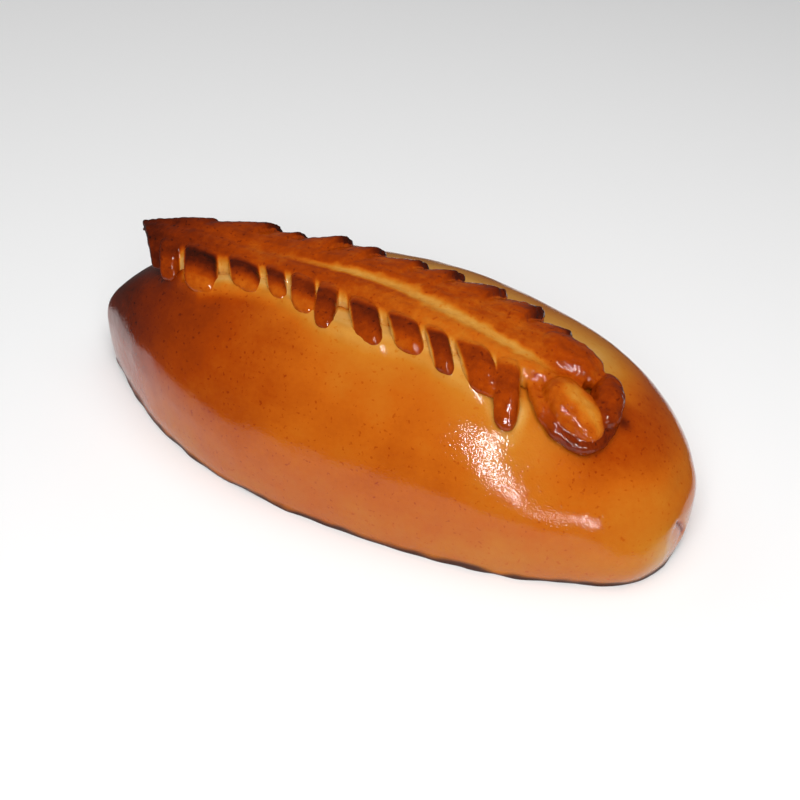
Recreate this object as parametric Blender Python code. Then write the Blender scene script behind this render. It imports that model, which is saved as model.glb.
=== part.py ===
# A closed yeast-dough pie with a snipped strip of dough baked along its ridge.
# Metres, +Z up. The pie lies along X on the plane z = 0. Its far tip is at -X and its
# blunt near end at +X. The side with the small snipped tabs faces -Y.
import math

import bmesh
import bpy
from mathutils import Matrix, Vector

# The pie
LENGTH = 0.276
NEAR_HALF_WIDTH = 0.0575
FAR_HALF_WIDTH = 0.0735
PIE_HEIGHT = 0.076
SHOULDER_HEIGHT = 0.0225
BASE_TUCK = 0.05
END_TUCK = 0.6
SECTION_POWER = 2.42
RIDGE_ROUNDNESS = 1.92
RIDGE_Y = (NEAR_HALF_WIDTH - FAR_HALF_WIDTH) / 2

# Powers that shape each end of the pie, seen from above and from the side
PLAN_POWER = {"tip": 2.37, "blunt": 2.58}
NEAR_TAPER = {"tip": 0.90, "blunt": 2.05}
FAR_TAPER = {"tip": 1.51, "blunt": 1.55}
RIDGE_POWER = {"tip": 2.15, "blunt": 2.48}
END_STRETCH = {"tip": 0.970, "blunt": 0.988}
END_ROUNDNESS = 120

# The strip of dough, with distances across it measured from the pie's ridge line
STRIP_TIP_X = -0.1170
STRIP_END_X = 0.092
MIDDLE_LINE = {"tip": 0.0010, "blunt": -0.0105}
NEAR_EDGE = {"tip": -0.0100, "blunt": -0.0190}
FAR_EDGE = {"tip": 0.0225, "blunt": 0.0090}
TIP_FAR_EDGE = 0.0045
POINT_LENGTH = 0.050
CUT_SLANT = 1.0
CUT_LENGTH = 0.046
FOOT_X = -0.091
NEAR_DRAPE = 0.0155
FAR_DRAPE = 0.034
TIP_LINE_Z = 0.0755
TIP_LINE_RISE = 0.0062
TIP_LINE_REACH = 0.016
CREASE_HEIGHT = {"tip": 0.0075, "blunt": 0.0060}
CREASE_HALF_WIDTH = 0.0050
NEAR_CREST = 0.0075
FAR_CREST = {"tip": 0.0090, "blunt": 0.0080}
STRIP_THICKNESS = 0.0075
TIP_THINNESS = 0.6
STRIP_GAP = 0.0003

# Stretches along X where the strip's lines pass from their tip value to their blunt one
NEAR_EDGE_TURN = (-0.045, 0.040)
MIDDLE_TURN = (-0.010, 0.080)
FAR_EDGE_TURN = (0.030, 0.095)
CREST_TURN = (0.0, 0.07)
CREASE_TURN = (-0.060, -0.020)
LIFT_FADE = (-0.080, -0.030)
SCALE_SLOPE = (0.10, 0.85)
SECTION_ROUNDING = 3.5

# The snipped tabs on the near edge: tip along X and from the ridge, lean to +X, width along X
TABS = (
    (-0.0915, -0.0130, 0.50, 0.0095),
    (-0.0708, -0.0205, 0.60, 0.0165),
    (-0.0497, -0.0178, 0.80, 0.0150),
    (-0.0345, -0.0185, 0.75, 0.0092),
    (-0.0208, -0.0222, 0.60, 0.0115),
    (-0.0096, -0.0266, 0.40, 0.0094),
    (0.0112, -0.0272, 0.75, 0.0136),
    (0.0280, -0.0254, 0.85, 0.0138),
    (0.0440, -0.0278, 0.85, 0.0100),
    (0.0612, -0.0288, 0.95, 0.0155),
    (0.0722, -0.0358, 0.40, 0.0102),
)
TAB_ROOT = 0.0060
TAB_SINK = 0.0004
TAB_THICKNESS = 0.0072
TAB_TIP_HEIGHT = 0.0005

# The snipped scales on the far edge: place of the end towards +X, and rise there
SCALES = (
    (-0.0800, 0.0018),
    (-0.0582, 0.0038),
    (-0.0445, 0.0026),
    (-0.0245, 0.0048),
    (-0.0080, 0.0035),
    (0.0120, 0.0030),
    (0.0275, 0.0038),
    (0.0465, 0.0038),
    (0.0640, 0.0045),
    (0.0775, 0.0035),
)
SCALE_OVERHANG = 0.0030
SCALE_LEAN = 0.0080
SNIP_WIDTH = 0.0010
MEAN_RISE = 0.0040

# The rolled knob that ends the strip: place along X and from the ridge line, half sizes,
# height of the centre above the pie, and the turn about Z in degrees
KNOB_LOBES = {
    "tongue": ((0.0925, -0.0198), (0.0146, 0.0086, 0.0074), 0.0038, -24),
    "side": ((0.1013, -0.0088), (0.0126, 0.0062, 0.0074), 0.0044, -66),
    "shoulder": ((0.0820, 0.0005), (0.0150, 0.0088, 0.0074), 0.0046, -8),
}
LIP_PATH = (
    (0.0710, -0.0145),
    (0.0778, -0.0212),
    (0.0848, -0.0264),
    (0.0925, -0.0284),
    (0.1004, -0.0266),
    (0.1046, -0.0206),
    (0.1056, -0.0124),
    (0.1036, -0.0050),
)
LIP_RADIUS = 0.0038
LIP_HEIGHT = 0.0024

# Mesh density
STATIONS = 47
TOP_POINTS = 27
FLANK_POINTS = 4
STATION_STEP = 0.0055
STRIP_POINTS = 19
LOBE_SEGMENTS = 14
LOBE_RINGS = 8
FINGER_SQUARENESS = 0.60
LOBE_SQUARENESS = 0.9
LIP_SIDES = 8
LIP_STEPS = 18
SLOPE_STEP = 0.004

# Finish of each piece, and the angle above which an edge stays sharp, in degrees
CRUST_COLOUR = (0.56, 0.16, 0.022, 1)
CRUST_ROUGHNESS = 0.30
CRUST_SHARP_ANGLE = 60
STRIP_COLOUR = (0.40, 0.088, 0.011, 1)
STRIP_ROUGHNESS = 0.28
STRIP_SHARP_ANGLE = 50


def clear_scene():
    for item in list(bpy.data.objects):
        bpy.data.objects.remove(item, do_unlink=True)


def dough_material(name, colour, roughness):
    """A glazed, baked dough."""
    material = bpy.data.materials.new(name)
    material.use_nodes = True
    shader = material.node_tree.nodes["Principled BSDF"]
    shader.inputs["Base Color"].default_value = colour
    shader.inputs["Roughness"].default_value = roughness
    shader.inputs["Metallic"].default_value = 0.0
    material.diffuse_color = colour
    return material


def smooth_step(value, start, end):
    t = min(max((value - start) / (end - start), 0.0), 1.0)
    return t * t * (3 - 2 * t)


def end_name(x):
    return "tip" if x < 0 else "blunt"


def half_width(x, near):
    """Half width of the pie at x on the near or the far side of its ridge."""
    end = end_name(x)
    u = min(abs(2 * x / LENGTH), 1.0)
    taper = (NEAR_TAPER if near else FAR_TAPER)[end]
    widest = NEAR_HALF_WIDTH if near else FAR_HALF_WIDTH
    long_end = (1 - (u * END_STRETCH[end]) ** PLAN_POWER[end]) ** (1 / taper)
    return widest * long_end * math.sqrt(1 - u ** END_ROUNDNESS)


def ridge_height(x):
    """Height of the ridge above the widest line of the pie."""
    u = min(abs(2 * x / LENGTH), 1.0)
    fall = (1 - u ** RIDGE_POWER[end_name(x)]) ** (1 / RIDGE_ROUNDNESS)
    return (PIE_HEIGHT - SHOULDER_HEIGHT) * fall


def crust_top(x, across):
    """Height of the pie's upper surface, with across measured from its ridge line."""
    width = max(half_width(x, across < 0), 1e-5)
    v = min(abs(across) / width, 1.0)
    return SHOULDER_HEIGHT + ridge_height(x) * math.sqrt(1 - v ** SECTION_POWER)


def pie_section(x, margin=0.0):
    """Closed section of the pie at x, from the near foot over the top to the far foot."""
    points = []
    near = half_width(x, True) + margin
    far = half_width(x, False) + margin
    rise = ridge_height(x) + margin
    flank = [0.5 * math.pi * (1 - i / FLANK_POINTS) for i in range(FLANK_POINTS)]
    for angle in flank:
        inset = BASE_TUCK * (1 - math.cos(angle))
        along = x * (1 - END_TUCK * inset)
        points.append((along, -near * (1 - inset), SHOULDER_HEIGHT * (1 - math.sin(angle))))
    for i in range(TOP_POINTS):
        v = math.sin(0.5 * math.pi * (2 * i / (TOP_POINTS - 1) - 1))
        height = SHOULDER_HEIGHT + rise * math.sqrt(max(1 - abs(v) ** SECTION_POWER, 0.0))
        points.append((x, v * (near if v < 0 else far), height))
    for angle in reversed(flank):
        inset = BASE_TUCK * (1 - math.cos(angle))
        along = x * (1 - END_TUCK * inset)
        points.append((along, far * (1 - inset), SHOULDER_HEIGHT * (1 - math.sin(angle))))
    return [Vector((px, py + RIDGE_Y, pz)) for px, py, pz in points]


def loft(name, sections):
    """A closed skin over a row of closed sections, whose end sections may shrink to a line."""
    mesh = bpy.data.meshes.new(name)
    form = bmesh.new()
    rings = [[form.verts.new(point) for point in section] for section in sections]
    count = len(rings[0])
    for ring, following in zip(rings, rings[1:]):
        for i in range(count):
            j = (i + 1) % count
            form.faces.new((ring[i], ring[j], following[j], following[i]))
    for ring in (rings[0], rings[-1]):
        form.faces.new(ring)
    bmesh.ops.remove_doubles(form, verts=form.verts, dist=1e-5)
    bmesh.ops.dissolve_degenerate(form, dist=1e-6, edges=form.edges)
    bmesh.ops.triangulate(form, faces=form.faces)
    bmesh.ops.recalc_face_normals(form, faces=form.faces)
    form.to_mesh(mesh)
    form.free()
    return mesh


def pie_mesh(name, margin=0.0):
    """The pie as a loft, or a copy of it grown by a small margin."""
    sections = []
    for i in range(STATIONS):
        u = math.sin(0.5 * math.pi * (2 * i / (STATIONS - 1) - 1))
        at_end = i in (0, STATIONS - 1)
        sections.append(pie_section(0.5 * LENGTH * u, 0.0 if at_end else margin))
    for section in sections:
        for point in section:
            point.x *= 1 + 2 * margin / LENGTH
    return loft(name, sections)


def between(line, t):
    return line["tip"] + (line["blunt"] - line["tip"]) * t


def strip_lines(x):
    """Near edge, middle line and far edge of the strip at x."""
    near = between(NEAR_EDGE, smooth_step(x, *NEAR_EDGE_TURN))
    widest = between(FAR_EDGE, smooth_step(x, *FAR_EDGE_TURN))
    far = TIP_FAR_EDGE + (widest - TIP_FAR_EDGE) * smooth_step(x, STRIP_TIP_X, STRIP_TIP_X + POINT_LENGTH)
    middle = between(MIDDLE_LINE, smooth_step(x, *MIDDLE_TURN))
    return near, middle, far


def cut_shift(x, across):
    """How far the slanted cut at the tip moves a point of the strip towards +X."""
    fade = 1 - smooth_step(x, STRIP_TIP_X, STRIP_TIP_X + CUT_LENGTH)
    return CUT_SLANT * (TIP_FAR_EDGE - across) * fade


def strip_seat(x, across):
    """Height at which the underside of the strip lies: on the pie, then level to its tip."""
    on_pie = crust_top(x, across)
    rise = TIP_LINE_RISE * (1 - math.exp(min(STRIP_TIP_X - x, 0.0) / TIP_LINE_REACH))
    level = TIP_LINE_Z - NEAR_CREST + rise
    lift = max(level - on_pie, 0.0) * (1 - smooth_step(x, *LIFT_FADE))
    offset = across - strip_lines(x)[1]
    drape = min(abs(offset) / (NEAR_DRAPE if offset < 0 else FAR_DRAPE), 1.0)
    return on_pie + lift * math.cos(0.5 * math.pi * drape)


def strip_thickness(x):
    """Thickness of the plain strip: it fills the space down to the pie up to its foot."""
    lift = max(strip_seat(x, MIDDLE_LINE["tip"]) - crust_top(x, MIDDLE_LINE["tip"]), 0.0)
    filled = smooth_step(x, STRIP_TIP_X, FOOT_X)
    return STRIP_THICKNESS * (TIP_THINNESS + (1 - TIP_THINNESS) * filled) + lift * filled * filled


def scale_rise(x):
    """Rise of the far edge at x: a slow ramp up to the end of each scale, then a drop."""
    start = STRIP_TIP_X
    for end, rise in SCALES:
        if x < end:
            return rise * max(x - start, 0.0) / (end - start)
        if x < end + SNIP_WIDTH:
            return rise * (end + SNIP_WIDTH - x) / SNIP_WIDTH
        start = end
    return 0.0


def strip_section(x):
    """Closed section of the strip at x: two puffed halves with a crease between them."""
    near, middle, far = strip_lines(x)
    far_crest = between(FAR_CREST, smooth_step(x, *CREST_TURN))
    crease = between(CREASE_HEIGHT, smooth_step(x, *CREASE_TURN))
    rise = scale_rise(x + SCALE_LEAN)
    far += SCALE_OVERHANG * rise / MEAN_RISE
    upper = []
    lower = []
    for i in range(STRIP_POINTS):
        v = math.sin(0.5 * math.pi * (2 * i / (STRIP_POINTS - 1) - 1))
        reach = middle - near if v < 0 else far - middle
        crest = NEAR_CREST if v < 0 else far_crest
        rounding = math.sqrt(max(1 - abs(v) ** SECTION_ROUNDING, 0.0))
        puff = crease + (crest - crease) * smooth_step(abs(v) * reach, 0.0, CREASE_HALF_WIDTH)
        across = middle + v * reach
        along = x + cut_shift(x, across) + SCALE_LEAN * max(v, 0.0) * smooth_step(x, STRIP_TIP_X, FOOT_X)
        top = strip_seat(along, across) + puff * rounding + rise * smooth_step(v, *SCALE_SLOPE)
        upper.append(Vector((along, across + RIDGE_Y, top)))
        lower.append(Vector((along, across + RIDGE_Y, top - strip_thickness(along) * rounding)))
    return upper + lower[-2:0:-1]


def strip_stations():
    """Places of the strip's sections, with one on each side of every snip."""
    ends = [end - SCALE_LEAN for end, rise in SCALES] + [STRIP_END_X]
    stations = [STRIP_TIP_X]
    start = STRIP_TIP_X
    for end in ends:
        count = max(2, round((end - start) / STATION_STEP))
        stations += [start + (end - start) * (i + 1) / count for i in range(count)]
        if end is not ends[-1]:
            start = end + SNIP_WIDTH
            stations.append(start)
    return stations


def strip_mesh(name):
    return loft(name, [strip_section(x) for x in strip_stations()])


def square_sphere(squareness):
    """A unit sphere whose sides are pressed towards a rounded box."""
    form = bmesh.new()
    bmesh.ops.create_uvsphere(form, u_segments=LOBE_SEGMENTS, v_segments=LOBE_RINGS, radius=1.0)
    for vertex in form.verts:
        vertex.co = Vector([math.copysign(abs(part) ** squareness, part) for part in vertex.co])
    return form


def lobe(name, place, half_sizes, matrix):
    """A rounded lump of dough."""
    mesh = bpy.data.meshes.new(name)
    form = square_sphere(LOBE_SQUARENESS)
    bmesh.ops.scale(form, vec=half_sizes, verts=form.verts)
    bmesh.ops.transform(form, matrix=Matrix.Translation(place) @ matrix, verts=form.verts)
    bmesh.ops.triangulate(form, faces=form.faces)
    form.to_mesh(mesh)
    form.free()
    return mesh


def finger(name, root, tip, width, thickness):
    """A flattened finger of dough from root to tip, bent down along its length."""
    mesh = bpy.data.meshes.new(name)
    form = square_sphere(FINGER_SQUARENESS)
    step = tip - root
    ahead = math.copysign(1.0, step.y)
    for vertex in form.verts:
        along = 0.5 * (vertex.co.y + 1)
        slope = 2 * step.z * along / abs(step.y)
        normal = Vector((0, -slope * ahead, 1)).normalized()
        centre = root + Vector((step.x * along, step.y * along, step.z * along * along))
        side = Vector((0.5 * width * vertex.co.x, 0, 0))
        vertex.co = centre + side + 0.5 * thickness * vertex.co.z * normal
    bmesh.ops.recalc_face_normals(form, faces=form.faces)
    bmesh.ops.triangulate(form, faces=form.faces)
    form.to_mesh(mesh)
    form.free()
    return mesh


def tab_meshes():
    """The snipped tabs on the near edge, bent down onto the pie."""
    meshes = []
    for index, (tip_x, tip, lean, width) in enumerate(TABS):
        root = strip_lines(tip_x)[0] + TAB_ROOT
        root_x = tip_x - lean * (root - tip)
        root_z = strip_seat(root_x, root) + NEAR_CREST - 0.5 * TAB_THICKNESS - TAB_SINK
        tip_z = crust_top(tip_x, tip) + TAB_TIP_HEIGHT
        start = Vector((root_x, root + RIDGE_Y, root_z))
        end = Vector((tip_x, tip + RIDGE_Y, tip_z))
        meshes.append(finger("tab_%d" % index, start, end, width, TAB_THICKNESS))
    return meshes


def on_crust(x, across, height):
    return Vector((x, across + RIDGE_Y, crust_top(x, across) + height))


def crust_normal(x, across):
    slope_x = (crust_top(x + SLOPE_STEP, across) - crust_top(x - SLOPE_STEP, across)) / (2 * SLOPE_STEP)
    slope_y = (crust_top(x, across + SLOPE_STEP) - crust_top(x, across - SLOPE_STEP)) / (2 * SLOPE_STEP)
    return Vector((-slope_x, -slope_y, 1)).normalized()


def catmull_rom(a, b, c, d, t):
    """Value between b and c of the curve through four values."""
    curve = 2 * b + (c - a) * t + (2 * a - 5 * b + 4 * c - d) * t ** 2 + (3 * b - a - 3 * c + d) * t ** 3
    return 0.5 * curve


def smooth_path(points, count):
    """Evenly spaced parameters along a curve that runs smoothly through the points."""
    path = []
    last = len(points) - 1
    for i in range(count):
        place = i * last / (count - 1)
        k = min(int(place), last - 1)
        t = place - k
        p0, p1, p2, p3 = (points[min(max(k + j, 0), last)] for j in (-1, 0, 1, 2))
        path.append([catmull_rom(*values, t) for values in zip(p0, p1, p2, p3)])
    return path


def lip_mesh(name):
    """The rolled lip round the knob, thinner at both ends."""
    path = smooth_path(LIP_PATH, LIP_STEPS)
    sections = []
    for i, (x, across) in enumerate(path):
        before = path[max(i - 1, 0)]
        after = path[min(i + 1, LIP_STEPS - 1)]
        ahead = Vector((after[0] - before[0], after[1] - before[1], 0)).normalized()
        normal = crust_normal(x, across)
        outward = ahead.cross(normal).normalized()
        radius = LIP_RADIUS * math.sqrt(math.sin(math.pi * (i + 0.5) / LIP_STEPS))
        centre = on_crust(x, across, LIP_HEIGHT)
        ring = []
        for k in range(LIP_SIDES):
            angle = 2 * math.pi * k / LIP_SIDES
            ring.append(centre + radius * (math.cos(angle) * outward + math.sin(angle) * normal))
        sections.append(ring)
    return loft(name, sections)


def knob_meshes():
    """The rolled knob at the strip's blunt end."""
    meshes = [lip_mesh("knob_lip")]
    for name, ((x, across), sizes, height, turn) in KNOB_LOBES.items():
        tilt = Vector((0, 0, 1)).rotation_difference(crust_normal(x, across)).to_matrix().to_4x4()
        matrix = tilt @ Matrix.Rotation(math.radians(turn), 4, "Z")
        meshes.append(lobe("knob_%s" % name, on_crust(x, across, height), sizes, matrix))
    return meshes


def add_object(name, mesh, collection):
    item = bpy.data.objects.new(name, mesh)
    collection.objects.link(item)
    return item


def apply_modifiers(item):
    graph = bpy.context.evaluated_depsgraph_get()
    baked = bpy.data.meshes.new_from_object(item.evaluated_get(graph))
    item.modifiers.clear()
    item.data = baked


def join_strip(strip, lobes, cutters):
    """Union the lobes with the strip, then cut the strip where it lies on the pie."""
    for index, mesh in enumerate(lobes):
        add_object("lobe_%d" % index, mesh, cutters)
    union = strip.modifiers.new("lobes", "BOOLEAN")
    union.operation = "UNION"
    union.operand_type = "COLLECTION"
    union.collection = cutters
    union.solver = "EXACT"
    apply_modifiers(strip)
    for item in list(cutters.objects):
        bpy.data.objects.remove(item, do_unlink=True)
    seat = add_object("seat_cutter", pie_mesh("seat_cutter", STRIP_GAP), cutters)
    seat.hide_render = True
    seat.display_type = "WIRE"
    cut = strip.modifiers.new("seat", "BOOLEAN")
    cut.operation = "DIFFERENCE"
    cut.object = seat
    cut.solver = "EXACT"
    apply_modifiers(strip)
    bpy.data.objects.remove(seat, do_unlink=True)


def keep_main_part(item):
    """Drop loose scraps that the cuts leave, and close tiny edges."""
    form = bmesh.new()
    form.from_mesh(item.data)
    bmesh.ops.remove_doubles(form, verts=form.verts, dist=2e-5)
    bmesh.ops.dissolve_degenerate(form, dist=1e-5, edges=form.edges)
    groups = []
    unseen = set(form.verts)
    while unseen:
        stack = [unseen.pop()]
        group = set(stack)
        while stack:
            for edge in stack.pop().link_edges:
                for other in edge.verts:
                    if other in unseen:
                        unseen.discard(other)
                        group.add(other)
                        stack.append(other)
        groups.append(group)
    largest = max(groups, key=len)
    scraps = [vertex for group in groups if group is not largest for vertex in group]
    bmesh.ops.delete(form, geom=scraps, context="VERTS")
    bmesh.ops.triangulate(form, faces=form.faces)
    form.to_mesh(item.data)
    form.free()


def finish(item, material, sharp_angle):
    item.data.materials.clear()
    item.data.materials.append(material)
    item.data.shade_smooth()
    item.data.set_sharp_from_angle(angle=math.radians(sharp_angle))


def main():
    clear_scene()
    scene = bpy.context.scene
    parts = bpy.data.collections.new("chicken_kulebyaka")
    cutters = bpy.data.collections.new("cutters")
    scene.collection.children.link(parts)
    scene.collection.children.link(cutters)

    pie = add_object("pie_crust", pie_mesh("pie_crust"), parts)
    finish(pie, dough_material("baked_crust", CRUST_COLOUR, CRUST_ROUGHNESS), CRUST_SHARP_ANGLE)

    strip = add_object("dough_strip", strip_mesh("dough_strip"), parts)
    join_strip(strip, tab_meshes() + knob_meshes(), cutters)
    keep_main_part(strip)
    finish(strip, dough_material("baked_strip", STRIP_COLOUR, STRIP_ROUGHNESS), STRIP_SHARP_ANGLE)


main()
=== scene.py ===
import math

import bmesh
import bpy
import numpy as np
from mathutils import Matrix, Vector, noise


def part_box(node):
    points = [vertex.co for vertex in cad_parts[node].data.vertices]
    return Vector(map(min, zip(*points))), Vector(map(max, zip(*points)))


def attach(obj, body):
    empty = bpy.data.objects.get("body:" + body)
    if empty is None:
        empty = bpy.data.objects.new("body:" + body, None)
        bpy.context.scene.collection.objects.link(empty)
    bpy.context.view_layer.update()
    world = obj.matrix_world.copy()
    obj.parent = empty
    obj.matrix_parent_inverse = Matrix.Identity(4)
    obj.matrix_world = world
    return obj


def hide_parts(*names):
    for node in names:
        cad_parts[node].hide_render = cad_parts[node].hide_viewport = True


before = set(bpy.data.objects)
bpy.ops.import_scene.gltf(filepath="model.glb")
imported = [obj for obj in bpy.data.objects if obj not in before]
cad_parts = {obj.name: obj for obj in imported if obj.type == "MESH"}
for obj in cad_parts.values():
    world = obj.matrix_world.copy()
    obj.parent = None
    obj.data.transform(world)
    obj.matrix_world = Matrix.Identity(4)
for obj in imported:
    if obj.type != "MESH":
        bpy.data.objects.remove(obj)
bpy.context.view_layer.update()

pieLow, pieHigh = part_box("pie_crust")
stripLow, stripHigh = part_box("dough_strip")

# The closed pie, in metres. Powers shape its pointed end and its blunt end.
pie = {
    "length": pieHigh[0] - pieLow[0],
    "nearHalf": 0.439 * (pieHigh[1] - pieLow[1]),
    "farHalf": 0.561 * (pieHigh[1] - pieLow[1]),
    "height": pieHigh[2],
    "shoulder": 0.0225,
    "tuck": 0.05,
    "endTuck": 0.6,  # of the tuck, at the two ends
    "sectionPower": 2.42,
    "ridgeRoundness": 1.92,
    "planPower": (2.37, 2.58),
    "nearTaper": (0.90, 2.05),
    "farTaper": (1.51, 1.55),
    "ridgePower": (2.15, 2.48),
    "endStretch": (0.970, 0.988),
    "endRoundness": 120,
    "shrink": 0.0004,
    "stations": 361,
    "fanPlace": 9,
    "fanCount": 24,
    "fanStep": 5.2e-6,
    "topPoints": 201,
    "flankPoints": 26,
    "sharpAngle": 70,
}
ridgeY = 0.5 * (pie["nearHalf"] - pie["farHalf"])

# The strip of dough. Distances across it are measured from the pie's ridge line.
strip = {
    "tipX": -0.1170,
    "endX": 0.092,
    "middle": (0.0010, -0.0105),
    "middleTurn": (-0.010, 0.080),
    "nearEdge": (-0.0100, -0.0190),
    "nearTurn": (-0.045, 0.040),
    "farEdge": (0.0225, 0.0090),
    "farTurn": (0.030, 0.095),
    "tipFarEdge": 0.0045,
    "pointLength": 0.050,
    "cutSlant": 1.0,
    "cutLength": 0.046,
    "footX": -0.091,
    "nearDrape": 0.0155,
    "farDrape": 0.034,
    "tipLineZ": 0.0755,
    "tipLineRise": 0.0062,
    "tipLineReach": 0.016,
    "liftTurn": (-0.030, -0.080),
    "crease": (0.0075, 0.0068),
    "creaseTurn": (-0.060, -0.020),
    "creaseHalfWidth": 0.0050,
    "nearCrest": 0.0075,
    "farCrest": (0.0090, 0.0080),
    "farCrestTurn": (0.0, 0.07),
    "edgePower": 3.5,
    "thickness": 0.0075,
    "tipThin": 0.6,
    "step": 0.0008,
    "points": 91,
    "voxel": 0.00048,
    "sink": 0.0006,
    "smoothing": 5,
}

# Snipped tabs on the near edge: tip along X and from the ridge, lean to +X, width along X
tabs = (
    (-0.0915, -0.0130, 0.50, 0.0095),
    (-0.0708, -0.0205, 0.60, 0.0165),
    (-0.0497, -0.0178, 0.80, 0.0150),
    (-0.0345, -0.0185, 0.75, 0.0092),
    (-0.0208, -0.0222, 0.60, 0.0115),
    (-0.0096, -0.0266, 0.40, 0.0094),
    (0.0112, -0.0272, 0.75, 0.0136),
    (0.0280, -0.0254, 0.85, 0.0138),
    (0.0440, -0.0278, 0.85, 0.0100),
    (0.0612, -0.0288, 0.95, 0.0155),
    (0.0722, -0.0358, 0.40, 0.0102),
)
tab = {"root": 0.0060, "sink": 0.0004, "thickness": 0.0072, "tipHeight": 0.0005, "squareness": 0.60}

# Snipped scales on the far edge: place of the end towards +X, and rise there
scales = (
    (-0.0800, 0.0018),
    (-0.0582, 0.0038),
    (-0.0445, 0.0026),
    (-0.0245, 0.0048),
    (-0.0080, 0.0035),
    (0.0120, 0.0030),
    (0.0275, 0.0038),
    (0.0465, 0.0038),
    (0.0640, 0.0045),
    (0.0775, 0.0035),
)
scale = {
    "overhang": 0.0030,
    "lean": 0.0080,
    "leanEnd": (0.092, 0.078),
    "snip": 0.0010,
    "meanRise": 0.0040,
    "onset": (0.10, 0.85),
}

# Rolled knob: place along X and from the ridge line, half sizes, height, turn in degrees
knob = {
    "tongue": ((0.0925, -0.0198), (0.0146, 0.0086, 0.0074), 0.0038, -24),
    "side": ((0.1013, -0.0088), (0.0126, 0.0062, 0.0074), 0.0044, -66),
    "shoulder": ((0.0820, 0.0005), (0.0150, 0.0088, 0.0074), 0.0046, -8),
}
lip = {
    "path": (
        (0.0710, -0.0145),
        (0.0778, -0.0212),
        (0.0848, -0.0264),
        (0.0925, -0.0284),
        (0.1004, -0.0266),
        (0.1046, -0.0206),
        (0.1056, -0.0124),
        (0.1036, -0.0050),
    ),
    "outline": ((0.088, -0.034), (0.104, -0.027)),
    "radius": 0.0038,
    "height": 0.0024,
    "steps": 90,
    "sides": 28,
}
ball = {"around": 56, "up": 36, "lobeSquareness": 0.9}

weldDistance = 2e-6
margin = 1e-5  # kept free inside the solids' boxes


# From 0 at the start to 1 at the end, which may also lie below the start
def smoothStep(value, start, end):
    t = np.clip((value - start) / (end - start), 0.0, 1.0)
    return t * t * (3 - 2 * t)


def byEnd(x, pair):
    return np.where(x < 0, pair[0], pair[1])


def between(pair, t):
    return pair[0] + (pair[1] - pair[0]) * t


def halfWidth(x, near):
    u = np.minimum(np.abs(2 * x / pie["length"]), 1.0)
    taper = byEnd(x, pie["nearTaper"]) * near + byEnd(x, pie["farTaper"]) * (1 - near)
    widest = pie["nearHalf"] * near + pie["farHalf"] * (1 - near)
    longEnd = (1 - (u * byEnd(x, pie["endStretch"])) ** byEnd(x, pie["planPower"])) ** (1 / taper)
    return widest * longEnd * np.sqrt(1 - u ** pie["endRoundness"])


def ridgeRise(x):
    u = np.minimum(np.abs(2 * x / pie["length"]), 1.0)
    fall = (1 - u ** byEnd(x, pie["ridgePower"])) ** (1 / pie["ridgeRoundness"])
    return (pie["height"] - pie["shoulder"]) * fall


def crustTop(x, across):
    x = np.asarray(x, float)
    width = np.maximum(halfWidth(x, np.where(np.asarray(across) < 0, 1.0, 0.0)), 1e-5)
    v = np.minimum(np.abs(across) / width, 1.0)
    return pie["shoulder"] + ridgeRise(x) * np.sqrt(1 - v ** pie["sectionPower"])


def stripLines(x):
    near = between(strip["nearEdge"], smoothStep(x, *strip["nearTurn"]))
    widest = between(strip["farEdge"], smoothStep(x, *strip["farTurn"]))
    grown = smoothStep(x, strip["tipX"], strip["tipX"] + strip["pointLength"])
    middle = between(strip["middle"], smoothStep(x, *strip["middleTurn"]))
    return near, middle, strip["tipFarEdge"] + (widest - strip["tipFarEdge"]) * grown


# The slanted cut at the tip moves the near side towards +X
def cutShift(x, across):
    fade = 1 - smoothStep(x, strip["tipX"], strip["tipX"] + strip["cutLength"])
    return strip["cutSlant"] * (strip["tipFarEdge"] - across) * fade


def stripSeat(x, across):
    onPie = crustTop(x, across)
    rise = strip["tipLineRise"] * (1 - np.exp(np.minimum(strip["tipX"] - x, 0) / strip["tipLineReach"]))
    lift = np.maximum(strip["tipLineZ"] - strip["nearCrest"] + rise - onPie, 0.0)
    offset = across - stripLines(x)[1]
    drape = np.abs(offset) / np.where(offset < 0, strip["nearDrape"], strip["farDrape"])
    lift *= np.cos(0.5 * math.pi * np.minimum(drape, 1.0))
    return onPie + lift * smoothStep(x, *strip["liftTurn"])


def stripThickness(x):
    middle = strip["middle"][0]
    lift = np.maximum(stripSeat(x, middle) - crustTop(x, middle), 0.0)
    filled = smoothStep(x, strip["tipX"], strip["footX"])
    return strip["thickness"] * between((strip["tipThin"], 1.0), filled) + lift * filled * filled


def sineSteps(count):
    return np.sin(0.5 * math.pi * np.linspace(-1, 1, count))


# A closed skin over rings of points, given as an array of (ring, point, xyz). The pie's end
# rings are flat lines that close by themselves, so it goes without caps.
def loftMesh(name, rings, capped=True):
    ringCount, count, _ = rings.shape
    mesh = bpy.data.meshes.new(name)
    i, j = np.meshgrid(np.arange(ringCount - 1), np.arange(count), indexing="ij")
    here, following = i * count + j, i * count + (j + 1) % count
    quads = np.stack([here, following, following + count, here + count], -1)
    last = (ringCount - 1) * count
    caps = [list(range(count)), list(range(last, last + count))] if capped else []
    mesh.from_pydata(rings.reshape(-1, 3).tolist(), [], quads.reshape(-1, 4).tolist() + caps)
    form = bmesh.new()
    form.from_mesh(mesh)
    bmesh.ops.remove_doubles(form, verts=form.verts, dist=weldDistance)
    bmesh.ops.dissolve_degenerate(form, dist=0.05 * weldDistance, edges=form.edges)
    bmesh.ops.recalc_face_normals(form, faces=form.faces)
    form.to_mesh(mesh)
    form.free()
    return mesh


def readPoints(mesh):
    flat = np.empty(len(mesh.vertices) * 3)
    mesh.vertices.foreach_get("co", flat)
    return flat.reshape(-1, 3)


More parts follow.
